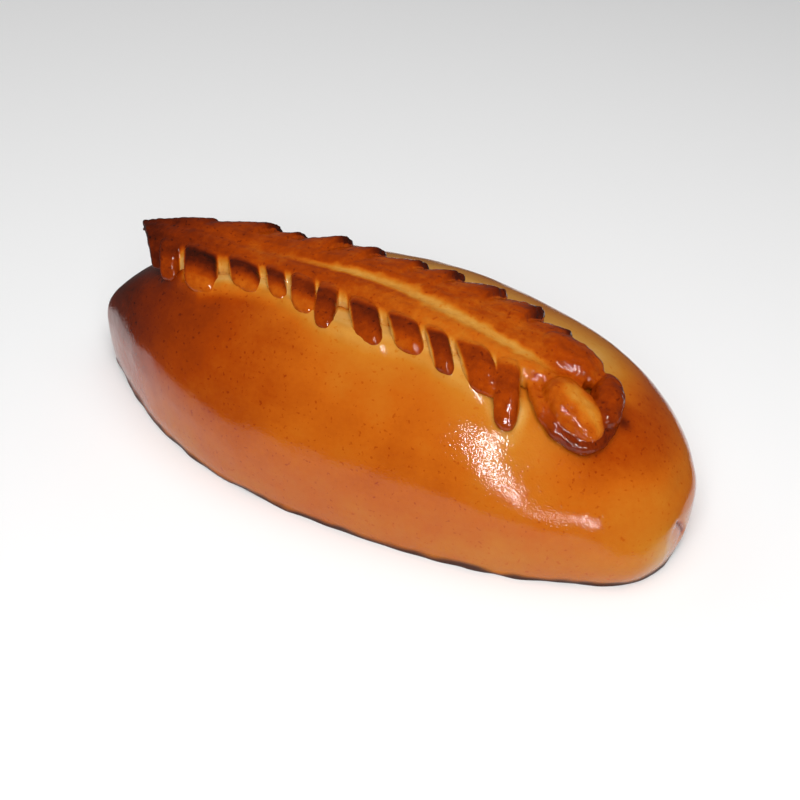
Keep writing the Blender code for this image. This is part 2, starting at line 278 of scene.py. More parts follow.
def readNormals(mesh):
    flat = np.empty(len(mesh.vertices) * 3)
    mesh.vertices.foreach_get("normal", flat)
    return flat.reshape(-1, 3)


def writePoints(mesh, points):
    mesh.vertices.foreach_set("co", np.ascontiguousarray(points).ravel())
    mesh.update()


def writeMask(mesh, name, values):
    layer = mesh.attributes.new(name, "FLOAT", "POINT")
    layer.data.foreach_set("value", np.clip(values, 0.0, 1.0).astype(np.float32))


# Soft noise from -1 to 1 at each point, with lumps of the given size in metres
def lumps(points, size, seed):
    shift = Vector((seed * 1.37, seed * 2.11, seed * 0.73))
    return np.array([noise.noise(Vector(p) / size + shift) for p in points])


# Averages each point with its neighbours, round after round
def relaxed(values, edges, rounds):
    count = len(values)
    neighbours = np.bincount(edges.ravel(), minlength=count)[:, None]
    out = values.copy()
    for _ in range(rounds):
        total = np.empty_like(out)
        for axis in range(out.shape[1]):
            total[:, axis] = np.bincount(edges[:, 0], out[edges[:, 1], axis], count)
            total[:, axis] += np.bincount(edges[:, 1], out[edges[:, 0], axis], count)
        out = 0.5 * out + 0.5 * total / np.maximum(neighbours, 1)
    return out


def meshEdges(mesh):
    flat = np.empty(len(mesh.edges) * 2, dtype=np.int32)
    mesh.edges.foreach_get("vertices", flat)
    return flat.reshape(-1, 2)


# How far each point stands out of its smoothed surroundings, in metres
def standOut(mesh, rounds):
    points = readPoints(mesh)
    smooth = relaxed(points, meshEdges(mesh), rounds)
    return np.einsum("ij,ij->i", points - smooth, readNormals(mesh))


def addPiece(name, mesh):
    piece = bpy.data.objects.new(name, mesh)
    bpy.context.scene.collection.objects.link(piece)
    return piece


# Moves points to a new place, but no further out than a piece's own box
def writeInside(mesh, points, box):
    low, high = np.array(box[0]) + margin, np.array(box[1]) - margin
    low[2] = box[0][2]
    writePoints(mesh, np.clip(points, low, high))


def blendTo(values, target, weight):
    return values + (target - values) * weight


def bell(value, centre, width):
    return np.exp(-((value - centre) / width) ** 2)


# A bell from its height, place and width
def hump(value, form):
    height, place, width = form
    return height * bell(value, place, width)


# A ramp from its height and the places where it starts and is whole
def ramp(value, form):
    height, start, end = form
    return height * smoothStep(value, start, end)


# 1 between the two middle places of a span, and 0 outside its outer two
def within(value, span):
    return smoothStep(value, span[0], span[1]) * smoothStep(value, span[3], span[2])


# Soft noises on top of each other, each given by its size, height and seed
def lumpy(points, layers):
    return sum(height * lumps(points, size, seed) for size, height, seed in layers)


# The strip's outline along the near side, through the tips of its tabs and round the knob
def tipLine(x):
    line = [placed[:2] for placed in tabs] + list(lip["outline"])
    return np.interp(x, [place for place, tip in line], [tip for place, tip in line])


def farLine(x):
    return stripLines(x)[2] + scale["overhang"]


crustRelief = {
    "noise": ((0.040, 0.0007, 3), (0.013, 0.00022, 11), (0.0045, 0.00005, 23)),
    "noiseMean": 0.000194,
    "upward": (0.1, 0.5),  # the upward part of a normal, where the top starts and is whole
    "sole": 0.97,
    "tabSpan": (-0.100, -0.085, 0.052, 0.068),
    "rim": (0.0026, -0.0014, 0.0035),
    "rimLumps": ((0.006, 0.5, 83),),
    "web": (0.0034, -0.0070, 0.0045),
    "footLip": (0.0014, 0.0030, 0.0),
    "footMean": 0.6,
    "footLumps": ((0.012, 0.8, 31),),
    "bluntStart": (0.055, 0.095),
    "nearSide": (0.000, -0.030),
    "shelf": (0.0018, 0.016, 0.016),
    "hollow": (-0.0010, 0.048, 0.012),
    "farSwell": (0.0016, 0.015, 0.035),
    "farSide": (0.015, 0.035),
    "corner": (0.0040, 0.128, 0.016),
    "cornerAcross": (-0.033, 0.014),
    "cornerUp": (0.010, 0.012),
    "baseEdge": (-0.001, 0.0006),
    "ends": (0.1368, 0.1330),
    "foldCrease": 0.0004,
    "fold": 0.0009,
}


def pieRings():
    # the stations crowd together over the flat face of the blunt end
    fan = 1 - pie["fanStep"] * np.arange(pie["fanCount"], -1, -1) ** 2
    u = np.concatenate([sineSteps(pie["stations"])[:-pie["fanPlace"]], fan])
    full = 0.5 * pie["length"] * u
    x = full - pie["shrink"] * u
    near = halfWidth(full, 1.0)[:, None] * (1 - pie["shrink"] / pie["nearHalf"])
    far = halfWidth(full, 0.0)[:, None] * (1 - pie["shrink"] / pie["farHalf"])
    rise = ridgeRise(full)[:, None] * (1 - pie["shrink"] / pie["height"])
    rise[0], rise[-1] = 0.0, 0.0
    rise = np.maximum(rise, 0.0)
    angle = 0.5 * math.pi * (1 - np.arange(pie["flankPoints"]) / pie["flankPoints"])[None, :]
    inset = pie["tuck"] * (1 - np.cos(angle))
    flankX = x[:, None] * (1 - pie["endTuck"] * inset)
    flankZ = pie["shoulder"] * (1 - np.sin(angle)) * np.ones_like(flankX)
    v = sineSteps(pie["topPoints"])[None, :]
    topZ = pie["shoulder"] + rise * np.sqrt(np.maximum(1 - np.abs(v) ** pie["sectionPower"], 0))
    topY = v * np.where(v < 0, near, far)
    topX = x[:, None] * np.ones_like(topY)
    nearFlank = np.stack([flankX, -near * (1 - inset), flankZ], -1)
    farFlank = np.stack([flankX, far * (1 - inset), flankZ], -1)[:, ::-1]
    top = np.stack([topX, topY, topZ], -1)
    rings = np.concatenate([nearFlank, top, farFlank], 1)
    rings[..., 1] += ridgeY
    return rings


# A crease across the blunt end where the dough was folded under, and the hollow below it
endCrease = {
    "start": (-0.0112, 0.0226),  # across and up
    "aside": (0.785, 0.620),  # the direction square to the crease
    "span": (-0.004, 0.002, 0.012, 0.018),
    "endFace": (0.122, 0.132),
    "width": 0.0010,
    "hollowWidth": 0.0055,
    "stepWidth": 0.0007,
}


def endFold(x, across, z):
    asideAcross, asideUp = endCrease["aside"]
    moved, raised = across - endCrease["start"][0], z - endCrease["start"][1]
    aside = asideAcross * moved + asideUp * raised
    along = asideUp * moved - asideAcross * raised
    there = within(along, endCrease["span"]) * smoothStep(x, *endCrease["endFace"])
    hollowWidth = np.where(aside < 0, endCrease["hollowWidth"], endCrease["stepWidth"])
    return bell(aside, 0.0, endCrease["width"]) * there, bell(aside, 0.0, hollowWidth) * there


def shapeCrust(mesh):
    points = readPoints(mesh)
    normals = readNormals(mesh)
    x, across, z = points[:, 0], points[:, 1] - ridgeY, points[:, 2]
    relief = crustRelief
    rise = lumpy(points, relief["noise"]) - relief["noiseMean"]
    onTop = smoothStep(normals[:, 2], *relief["upward"])
    onSide = np.abs(normals[:, 2]) < relief["sole"]
    # the crust stands up in a rim below the tabs, and in webs between them
    outside = tipLine(x) - across
    rim = hump(outside, relief["rim"]) * (1 + lumpy(points, relief["rimLumps"]))
    rise += (rim + hump(outside, relief["web"])) * within(x, relief["tabSpan"]) * onTop
    ragged = np.clip(relief["footMean"] + lumpy(points, relief["footLumps"]), 0, 1.4)
    rise += ramp(z, relief["footLip"]) * ragged * onSide
    # the near side is fuller low down at the blunt end, and a little hollow above that
    nearBlunt = smoothStep(x, *relief["bluntStart"]) * smoothStep(across, *relief["nearSide"])
    rise += (hump(z, relief["shelf"]) + hump(z, relief["hollow"])) * nearBlunt * onSide
    rise += hump(x, relief["farSwell"]) * smoothStep(across, *relief["farSide"]) * onTop
    # a lump of folded dough at the blunt end's near corner
    corner = hump(x, relief["corner"]) * bell(across, *relief["cornerAcross"])
    rise += corner * bell(z, *relief["cornerUp"]) * onSide
    rise *= smoothStep(z, *relief["baseEdge"]) * smoothStep(np.abs(x), *relief["ends"])
    crease, fold = endFold(x, across, z)
    rise -= relief["fold"] * fold + relief["foldCrease"] * crease
    points = points + normals * rise[:, None]
    points[:, 2] = np.where(z < margin, 0.0, np.maximum(points[:, 2], 0.0))
    writeInside(mesh, points, (pieLow, pieHigh))


# How brown the crust is at each point, from 0 for pale dough to 1 for nearly black. Painted shade is
# added in the end fold's crease and hollow.
crustBakeAndShade = {
    "plain": 0.50,
    "tipEnd": (0.22, -0.070, -0.135),
    "tipShoulder": (0.23, 0.010, -0.085),
    "tipShoulderUp": (0.015, 0.050),
    "bluntShoulder": (0.20, 0.085, 0.112),
    "bluntShoulderUp": (0.036, 0.054),
    "bluntEnd": (-0.05, 0.03, 0.12),
    "lowDown": (-0.05, 0.030, 0.004),
    "halo": -0.12,
    "haloWidth": (0.010, 0.014),
    "haloSpan": (-0.060, 0.0, 0.070, 0.105),
    "rim": (-0.10, 0.0006, 0.0016),
    "rimSpan": (-0.085, -0.070, 0.074, 0.080),
    "web": 0.14,
    "webShare": (1.3, -0.0065, 0.0055),
    "webSpan": (-0.088, -0.082, 0.074, 0.080),
    # painted shade: the end fold's crease line and the hollow below it are drawn darker
    "foldCrease": 0.30,
    "fold": 0.16,
    "cornerPatch": (-0.20, 0.116, 0.126),
    "cornerPatchAcross": (-0.020, 0.008),
    "cornerPatchUp": (0.013, 0.009),
    "stain": (0.22, 0.0, 0.0028),
    "stainPlace": (0.1085, -0.0069),
    "farHalo": -0.34,
    "farHaloWidth": 0.022,
    "farHaloStart": (0.0, 0.006),
    "farHaloSpan": (-0.090, -0.020, 0.085, 0.120),
    "mottle": ((0.030, 0.05, 41), (0.011, 0.03, 47)),
    "foot": (0.0036, 0.0008),
    "footLumps": ((0.008, 0.0016, 53),),
}


def bakeCrust(mesh):
    points = readPoints(mesh)
    x, across, z = points[:, 0], points[:, 1] - ridgeY, points[:, 2]
    brown = crustBakeAndShade
    bake = brown["plain"] + ramp(x, brown["tipEnd"])
    bake += ramp(x, brown["tipShoulder"]) * smoothStep(z, *brown["tipShoulderUp"])
    bake += ramp(x, brown["bluntShoulder"]) * smoothStep(z, *brown["bluntShoulderUp"])
    # the crust is paler round the tabs, and palest in the webs that were torn open as it rose
    outside = tipLine(x) - across
    halo = bell(outside, 0.0, np.where(outside > 0, *brown["haloWidth"]))
    bake += brown["halo"] * halo * within(x, brown["haloSpan"])
    bake += hump(outside, brown["rim"]) * within(x, brown["rimSpan"])
    # painted shade darkens the end fold's crease and the hollow below it
    crease, fold = endFold(x, across, z)
    bake += brown["foldCrease"] * crease + brown["fold"] * fold
    patch = bell(across, *brown["cornerPatchAcross"]) * bell(z, *brown["cornerPatchUp"])
    bake += ramp(x, brown["cornerPatch"]) * patch
    inWeb = hump(outside, brown["webShare"]) * within(x, brown["webSpan"])
    bake = blendTo(bake, brown["web"], np.clip(inWeb, 0, 1))
    stainX, stainAcross = brown["stainPlace"]
    bake += hump(np.hypot(x - stainX, across - stainAcross), brown["stain"])
    beyond = np.maximum(across - farLine(x), 0.0)
    farHalo = bell(beyond, 0.0, brown["farHaloWidth"]) * smoothStep(across, *brown["farHaloStart"])
    bake += brown["farHalo"] * farHalo * within(x, brown["farHaloSpan"])
    bake += ramp(x, brown["bluntEnd"]) + ramp(z, brown["lowDown"])
    bake += lumpy(points, brown["mottle"])
    writeMask(mesh, "bake", bake)
    writeMask(mesh, "foot", smoothStep(z + lumpy(points, brown["footLumps"]), *brown["foot"]))


def makeCrust():
    mesh = loftMesh("pieCrust", pieRings(), capped=False)
    shapeCrust(mesh)
    bakeCrust(mesh)
    mesh.shade_smooth()
    mesh.set_sharp_from_angle(angle=math.radians(pie["sharpAngle"]))
    return addPiece("pieCrust", mesh)


# How far along its scale each place is, from 0 to 1, and the rise that goes with it
def scaleClimb(x):
    climb = np.zeros_like(x)
    rise = np.zeros_like(x)
    start = strip["tipX"]
    for end, height in scales:
        up = np.clip((x - start) / (end - start), 0, 1)
        down = np.clip((end + scale["snip"] - x) / scale["snip"], 0, 1)
        inside = (x >= start) & (x < end + scale["snip"])
        climb = np.where(inside, up * down, climb)
        rise = np.where(inside, up * down * height, rise)
        start = end
    return climb, rise


def stripRings():
    count = int((strip["endX"] - strip["tipX"]) / strip["step"])
    x = np.linspace(strip["tipX"], strip["endX"], count)[:, None]
    v = sineSteps(strip["points"])[None, :]
    near, middle, far = stripLines(x)
    rise = scaleClimb(x + scale["lean"])[1]
    far = far + scale["overhang"] * rise / scale["meanRise"]
    reach = np.where(v < 0, middle - near, far - middle)
    farCrest = between(strip["farCrest"], smoothStep(x, *strip["farCrestTurn"]))
    crest = np.where(v < 0, strip["nearCrest"], farCrest)
    rounding = np.sqrt(np.maximum(1 - np.abs(v) ** strip["edgePower"], 0.0))
    crease = between(strip["crease"], smoothStep(x, *strip["creaseTurn"]))
    puff = crease + (crest - crease) * smoothStep(np.abs(v) * reach, 0.0, strip["creaseHalfWidth"])
    across = middle + v * reach
    lean = scale["lean"] * np.maximum(v, 0.0) * smoothStep(x, strip["tipX"], strip["footX"])
    lean *= smoothStep(x, *scale["leanEnd"])
    along = x + cutShift(x, across) + lean
    top = stripSeat(along, across) + puff * rounding + rise * smoothStep(v, *scale["onset"])
    bottom = top - stripThickness(along) * rounding
    upper = np.stack([along, across + ridgeY, top], -1)
    lower = np.stack([along, across + ridgeY, bottom], -1)
    return np.concatenate([upper, lower[:, -2:0:-1]], 1)


# A ball whose sides are pressed towards a rounded box
def squareBall(squareness):
    form = bmesh.new()
    bmesh.ops.create_uvsphere(form, u_segments=ball["around"], v_segments=ball["up"], radius=1.0)
    for vertex in form.verts:
        vertex.co = Vector([math.copysign(abs(part) ** squareness, part) for part in vertex.co])
    return form


def ballMesh(name, form):
    mesh = bpy.data.meshes.new(name)
    bmesh.ops.recalc_face_normals(form, faces=form.faces)
    form.to_mesh(mesh)
    form.free()
    return mesh


def lobeMesh(name, place, halfSizes, matrix):
    form = squareBall(ball["lobeSquareness"])
    bmesh.ops.scale(form, vec=halfSizes, verts=form.verts)
    bmesh.ops.transform(form, matrix=Matrix.Translation(place) @ matrix, verts=form.verts)
    return ballMesh(name, form)


# A flattened finger of dough from root to tip, bent down along its length
def fingerMesh(name, root, tip, width, thickness):
    form = squareBall(tab["squareness"])
    step = tip - root
    ahead = math.copysign(1.0, step.y)
    for vertex in form.verts:
        along = 0.5 * (vertex.co.y + 1)
        slope = 2 * step.z * along / abs(step.y)
        normal = Vector((0, -slope * ahead, 1)).normalized()
        centre = root + Vector((step.x * along, step.y * along, step.z * along * along))
        side = Vector((0.5 * width * vertex.co.x, 0, 0))
        vertex.co = centre + side + 0.5 * thickness * vertex.co.z * normal
    return ballMesh(name, form)


def tabEnds(tipX, tip, lean):
    root = float(stripLines(tipX)[0]) + tab["root"]
    rootX = tipX - lean * (root - tip)
    rootZ = float(stripSeat(rootX, root)) + strip["nearCrest"] - 0.5 * tab["thickness"] - tab["sink"]
    tipZ = float(crustTop(tipX, tip)) + tab["tipHeight"]
    return Vector((rootX, root + ridgeY, rootZ)), Vector((tipX, tip + ridgeY, tipZ))


def onCrust(x, across, height):
    return Vector((x, across + ridgeY, float(crustTop(x, across)) + height))


def crustNormal(x, across):
    step = 0.004  # wide enough to even out the ridge
    slopeX = float(crustTop(x + step, across) - crustTop(x - step, across)) / (2 * step)
    slopeY = float(crustTop(x, across + step) - crustTop(x, across - step)) / (2 * step)
    return Vector((-slopeX, -slopeY, 1)).normalized()


# Points spaced along a curve that runs smoothly through the given ones
def smoothPath(points, count):
    points = np.array(points)
    last = len(points) - 1
    place = np.linspace(0, last, count)
    k = np.minimum(place.astype(int), last - 1)
    t = (place - k)[:, None]
    a, b, c, d = (points[np.clip(k + j, 0, last)] for j in (-1, 0, 1, 2))
    curve = 2 * b + (c - a) * t + (2 * a - 5 * b + 4 * c - d) * t ** 2 + (3 * b - a - 3 * c + d) * t ** 3
    return 0.5 * curve


def lipMesh(name):
    path = smoothPath(lip["path"], lip["steps"])
    rings = []
    for i, (x, across) in enumerate(path):
        step = path[min(i + 1, lip["steps"] - 1)] - path[max(i - 1, 0)]
        normal = crustNormal(x, across)
        outward = Vector((step[0], step[1], 0)).normalized().cross(normal).normalized()
        radius = lip["radius"] * math.sqrt(math.sin(math.pi * (i + 0.5) / lip["steps"]))
        centre = onCrust(x, across, lip["height"])
        turns = [2 * math.pi * k / lip["sides"] for k in range(lip["sides"])]
        rings.append([centre + radius * (math.cos(a) * outward + math.sin(a) * normal) for a in turns])
    return loftMesh(name, np.array(rings))


def knobFrame(name):
    place, sizes, height, turn = knob[name]
    tilt = Vector((0, 0, 1)).rotation_difference(crustNormal(*place)).to_matrix().to_4x4()
    return onCrust(*place, height), sizes, tilt @ Matrix.Rotation(math.radians(turn), 4, "Z")


def stripParts():
    meshes = [loftMesh("stripCore", stripRings())]
    for index, (tipX, tip, lean, width) in enumerate(tabs):
        meshes.append(fingerMesh("tab%d" % index, *tabEnds(tipX, tip, lean), width, tab["thickness"]))
    for name in knob:
        meshes.append(lobeMesh("knob%s" % name.title(), *knobFrame(name)))
    meshes.append(lipMesh("knobLip"))
    return meshes


def mergeParts(name, meshes, voxel):
    form = bmesh.new()
    for mesh in meshes:
        form.from_mesh(mesh)
    merged = bpy.data.meshes.new(name)
    form.to_mesh(merged)
    form.free()
    piece = addPiece(name, merged)
    remesh = piece.modifiers.new("weld", "REMESH")
    remesh.mode = "VOXEL"
    remesh.voxel_size = voxel
    graph = bpy.context.evaluated_depsgraph_get()
    welded = bpy.data.meshes.new_from_object(piece.evaluated_get(graph))
    piece.modifiers.clear()
    piece.data = welded
    return piece


# Where a point lies on a tab: how far from root to tip, and how far off its middle
def onTab(points, start, end, width):
    along = (points[:, 1] - start.y) / (end.y - start.y)
    aside = (points[:, 0] - start.x - (end.x - start.x) * along) / (0.5 * width)
    return along, aside


# How near each point is to the surface of a knob's lump, as a share of the lump's size
def knobRadius(points, name):
    place, sizes, turn = knobFrame(name)
    matrix = np.array((Matrix.Translation(place) @ turn).inverted())
    local = (points @ matrix[:3, :3].T + matrix[:3, 3]) / np.array(sizes)
    return np.linalg.norm(local, axis=1), local


def lipRadius(points):
    path = smoothPath(lip["path"], lip["steps"])
    centres = np.array([onCrust(x, across, lip["height"]) for x, across in path])
    distance = np.linalg.norm(points[:, None, :] - centres[None], axis=2)
    return distance.min(1) / lip["radius"], distance.argmin(1) / (lip["steps"] - 1)


# How brown each tab is at its root and at its tip
tabBake = (
    (0.84, 0.70),
    (0.94, 0.56),
    (0.90, 0.54),
    (0.86, 0.58),
    (0.82, 0.54),
    (0.84, 0.70),
    (0.82, 0.70),
    (0.78, 0.60),
    (0.84, 0.74),
    (0.72, 0.64),
    (0.70, 0.66),
)

# How brown the strip is: 0 is pale dough and 1 is nearly black. Painted shade is added in the knob's
# hollow folds.
stripBakeAndShade = {
    "near": (0.65, 0.45),
    "far": (0.66, 0.60),
    "turn": (-0.020, 0.050),
    "middleEdge": (-0.002, 0.002),
    "tipEnd": (0.23, -0.050, -0.115),
    "scaleEnd": (0.30, 0.50, 1.0),
    "scaleClimb": (0.40, 1.0),
    "tabSide": (1.02, 0.82),
    "tabStart": (0.16, 0.40),
    "tabTip": (0.50, 1.0),
    "tabCover": (1.08, 0.90),
    "tabReach": (-0.1, 1.5),
    "slot": 0.12,
    "slotReach": (0.004, 0.0),
    "slotSpan": (-0.091, -0.088, 0.069, 0.077),
    "crease": 0.24,
    "creaseWidth": 0.0012,
    "creaseWide": (0.0016, 0.025, 0.045),
    "creaseLumps": ((0.004, 0.5, 79),),
    "creaseEdge": (1.7, 0.3),
    "creaseSpan": (-0.050, -0.010, 0.066, 0.084),
    "creaseRise": 0.002,
    "knobStart": (0.066, 0.078),
    "tongue": (0.28, 0.58),
    "tongueEdge": (0.10, 0.62),
    "tongueMiddle": (0.15, 0.15),
    "tongueLumps": ((0.004, 0.15, 89),),
    "side": (0.74, 0.74),
    "shoulder": (0.63, 0.63),
    "lip": (0.54, 0.80),
    "lipTurn": (0.15, 0.45),
    "nearestEdge": (0.12, 0.02),
    "lobeEdge": (1.4, 1.15),
    "lipEdge": (1.5, 1.2),
    "surroundings": 40,  # rounds of smoothing that a ridge or fold stands out of
    "ridge": (40.0, 0.10),
    # painted shade: share and most of the darkening in the knob's hollow folds
    "fold": (-60.0, 0.14),
    "mottle": ((0.008, 0.05, 61), (0.003, 0.03, 67)),
}


# Blends in each tab's own brown, and tells which points a tab covers
def bakeTabs(bake, points):
    covered = np.zeros(len(points))
    low, high = stripBakeAndShade["tabReach"]
    for (tipX, tip, lean, width), ends in zip(tabs, tabBake):
        along, aside = onTab(points, *tabEnds(tipX, tip, lean), width)
        aside = np.abs(aside)
        onIt = smoothStep(aside, *stripBakeAndShade["tabSide"]) * smoothStep(along, *stripBakeAndShade["tabStart"])
        brown = between(ends, smoothStep(along, *stripBakeAndShade["tabTip"]))
        bake = blendTo(bake, brown, onIt * (along < high))
        cover = smoothStep(aside, *stripBakeAndShade["tabCover"]) * (along > low) * (along < high)
        covered = np.maximum(covered, cover)
    return bake, covered


# Each point of the knob takes the brown of the lump or lip that it lies nearest to
def bakeKnob(bake, points, atKnob):
    lipDistance, lipPlace = lipRadius(points)
    radii = {name: knobRadius(points, name) for name in knob}
    nearest = np.minimum.reduce([lipDistance] + [radius for radius, local in radii.values()])
    for name, (radius, local) in radii.items():
        lengthwise, sidewise = stripBakeAndShade["tongueMiddle"]
        offAxis = np.hypot(0.55 * (local[:, 0] - lengthwise), local[:, 1] - sidewise)
        offAxis += lumpy(points, stripBakeAndShade["tongueLumps"])
        brown = between(stripBakeAndShade[name], smoothStep(offAxis, *stripBakeAndShade["tongueEdge"]))
        own = smoothStep(radius - nearest, *stripBakeAndShade["nearestEdge"])
        bake = blendTo(bake, brown, own * smoothStep(radius, *stripBakeAndShade["lobeEdge"]) * atKnob)
    own = smoothStep(lipDistance - nearest, *stripBakeAndShade["nearestEdge"])
    own *= smoothStep(lipDistance, *stripBakeAndShade["lipEdge"]) * atKnob
    return blendTo(bake, between(stripBakeAndShade["lip"], smoothStep(lipPlace, *stripBakeAndShade["lipTurn"])), own)


def bakeStrip(piece):
    mesh = piece.data
    points = readPoints(mesh)
    x, across, z = points[:, 0], points[:, 1] - ridgeY, points[:, 2]
    near, middle, far = stripLines(x)
    brown = stripBakeAndShade
    t = smoothStep(x, *brown["turn"])
    onFar = smoothStep(across - middle, *brown["middleEdge"])
    bake = blendTo(between(brown["near"], t), between(brown["far"], t), onFar)
    bake += ramp(x, brown["tipEnd"])
    reach = np.clip((across - middle) / (far - middle), 0, 1.4)
    climb = scaleClimb(x - scale["lean"] * np.minimum(reach, 1) + scale["lean"])[0]
    bake += ramp(reach, brown["scaleEnd"]) * smoothStep(climb, *brown["scaleClimb"])
    bake, covered = bakeTabs(bake, points)
    slots = smoothStep(across - near, *brown["slotReach"]) * (1 - covered)
    bake = blendTo(bake, brown["slot"], slots * within(x, brown["slotSpan"]))
    creaseWidth = brown["creaseWidth"] + hump(x, brown["creaseWide"])
    creaseWidth *= 1 + lumpy(points, brown["creaseLumps"])
    crease = smoothStep(np.abs(across - middle) / creaseWidth, *brown["creaseEdge"])
    crease *= within(x, brown["creaseSpan"]) * (z > crustTop(x, across) + brown["creaseRise"])
    bake = blendTo(bake, brown["crease"], crease)
    atKnob = smoothStep(x, *brown["knobStart"])
    bake = bakeKnob(bake, points, atKnob)
    # ridges brown more than flat dough does, and the knob's hollow folds get painted shade
    proud = standOut(mesh, brown["surroundings"])
    share, most = brown["ridge"]
    bake += np.clip(share * proud, 0.0, most)
    share, most = brown["fold"]
    bake += np.clip(share * proud, 0.0, most) * atKnob
    bake += lumpy(points, brown["mottle"])
    writeMask(mesh, "bake", bake)
    writeMask(mesh, "foot", np.zeros(len(points)))


stripRelief = {
    "noise": ((0.0060, 0.00030, 71), (0.0022, 0.00016, 73)),
    "wrinkles": ((0.0028, 0.00022, 91),),
    "wrinkleStretch": (0.3, 1.0, 1.0),
    "knob": ((0.0050, 0.00060, 93),),
    "knobStart": (0.070, 0.080),
    "farEdge": ((0.0026, 0.00045, 97),),
    "farEdgeStart": (-0.010, -0.003),
}


def makeStrip():
    piece = mergeParts("doughStrip", stripParts(), strip["voxel"])
    mesh = piece.data
    points = relaxed(readPoints(mesh), meshEdges(mesh), strip["smoothing"])
    writePoints(mesh, points)
    normals = readNormals(mesh)
    relief = stripRelief
    rise = lumpy(points, relief["noise"]) + lumpy(points * relief["wrinkleStretch"], relief["wrinkles"])
    rise += lumpy(points, relief["knob"]) * smoothStep(points[:, 0], *relief["knobStart"])
    beyond = points[:, 1] - ridgeY - farLine(points[:, 0])
    rise += lumpy(points, relief["farEdge"]) * smoothStep(beyond, *relief["farEdgeStart"])
    points = points + normals * rise[:, None]
    onPie = crustTop(points[:, 0], points[:, 1] - ridgeY) - strip["sink"]
    points[:, 2] = np.maximum(points[:, 2], onPie)
    writeInside(mesh, points, (stripLow, stripHigh))
    bakeStrip(piece)
    mesh.shade_smooth()
    return piece


# A socket in a shader. Arithmetic on it adds Math nodes, so finishes read as formulas.
class Wire:
    def __init__(self, tree, socket):
        self.tree = tree
        self.socket = socket

    def node(self, kind, settings, sockets, output=0):
        made = self.tree.nodes.new(kind)
        for name, value in settings.items():
            if name == "stops":
                fillRamp(made.color_ramp, value)
            else:
                setattr(made, name, value)
        for name, value in sockets.items():
            if isinstance(value, Wire):
                self.tree.links.new(value.socket, made.inputs[name])
            else:
                made.inputs[name].default_value = value
        return Wire(self.tree, made.outputs[output])

    def maths(self, operation, first, second, clamp=False):
        settings = {"operation": operation, "use_clamp": clamp}
        return self.node("ShaderNodeMath", settings, {0: first, 1: second})

    def __add__(self, other):
        return self.maths("ADD", self, other)

    def __radd__(self, other):
        return self.maths("ADD", other, self)

    def __sub__(self, other):
        return self.maths("SUBTRACT", self, other)

    def __rsub__(self, other):
        return self.maths("SUBTRACT", other, self)

    def __mul__(self, other):
        return self.maths("MULTIPLY", self, other)

    def __rmul__(self, other):
        return self.maths("MULTIPLY", other, self)

    def clipped(self):
        return self.maths("ADD", self, 0.0, clamp=True)

    def ramp(self, stops):
        return self.node("ShaderNodeValToRGB", {"stops": stops}, {"Fac": self})

    def rampUp(self, start, end):
        return self.ramp(((start, (0, 0, 0, 1)), (end, (1, 1, 1, 1))))

    def noise(self, size, detail=2.0, roughness=0.5, stretch=(1, 1, 1)):
        moved = self.node("ShaderNodeMapping", {}, {"Vector": self, "Scale": stretch})
        return self.node("ShaderNodeTexNoise", {}, {
            "Vector": moved,
            "Scale": 1 / size,
            "Detail": detail,
            "Roughness": roughness,
        })

    def mix(self, factor, other):
        settings = {"data_type": "RGBA", "blend_type": "MIX"}
        return self.node("ShaderNodeMix", settings, {0: factor, 6: self, 7: other}, 2)


def fillRamp(colorRamp, stops):
    while len(colorRamp.elements) < len(stops):
        colorRamp.elements.new(0.5)
    for element, (place, colour) in zip(colorRamp.elements, stops):
        element.position = place
        element.color = colour


# A colour from the usual 0 to 255 scale, turned into the linear one that shaders use
def tone(red, green, blue):
    parts = [part / 255 for part in (red, green, blue)]
    linear = [p / 12.92 if p <= 0.04045 else ((p + 0.055) / 1.055) ** 2.4 for p in parts]
    return (*linear, 1.0)


# Colours of the dough from pale to burnt, by how much it has baked, and darker where shade is painted
# into its folds
doughTones = (
    (0.00, tone(212, 170, 102)),
    (0.20, tone(198, 137, 56)),
    (0.36, tone(190, 112, 28)),
    (0.50, tone(184, 90, 13)),
    (0.64, tone(156, 59, 2)),
    (0.78, tone(118, 38, 3)),
    (0.90, tone(78, 22, 4)),
    (1.00, tone(42, 14, 7)),
)


# Noises of the dough's skin: size in metres, detail, roughness, and how it is drawn out
doughSkin = {
    "cloud": (0.016, 3.0, 0.55),
    "grain": (0.0022, 3.0, 0.6),
    "brushed": (0.004, 2.0, 0.5, (0.22, 1.0, 1.0)),
    "freckle": (0.0016, 1.0, 0.4),
    "freckleEdge": (0.66, 0.74),
    "pores": (0.0030, 1.0, 0.5),
    "poreEdge": (0.22, 0.32),
    "poreDepth": 0.3,
    "brushedDepth": 0.3,
    "cloudGloss": 0.06,
    "grainGloss": 0.05,
    "footGloss": 0.4,
    "footTone": tone(64, 28, 10),
}

crustFinish = {
    "cloud": 0.10,
    "grain": 0.07,
    "brushed": 0.05,
    "freckle": 0.10,
    "roughness": 0.06,
    "specular": 0.31,
    "pimple": (0.0008, 1.0, 0.5),
    "bump": 0.00008,
    "grainDepth": 0.25,
}
stripFinish = dict(
    crustFinish,
    cloud=0.16,
    grain=0.16,
    brushed=0.12,
    roughness=0.05,
    pimple=(0.0016, 1.0, 0.5),
    bump=0.00024,
    grainDepth=0.05,
)


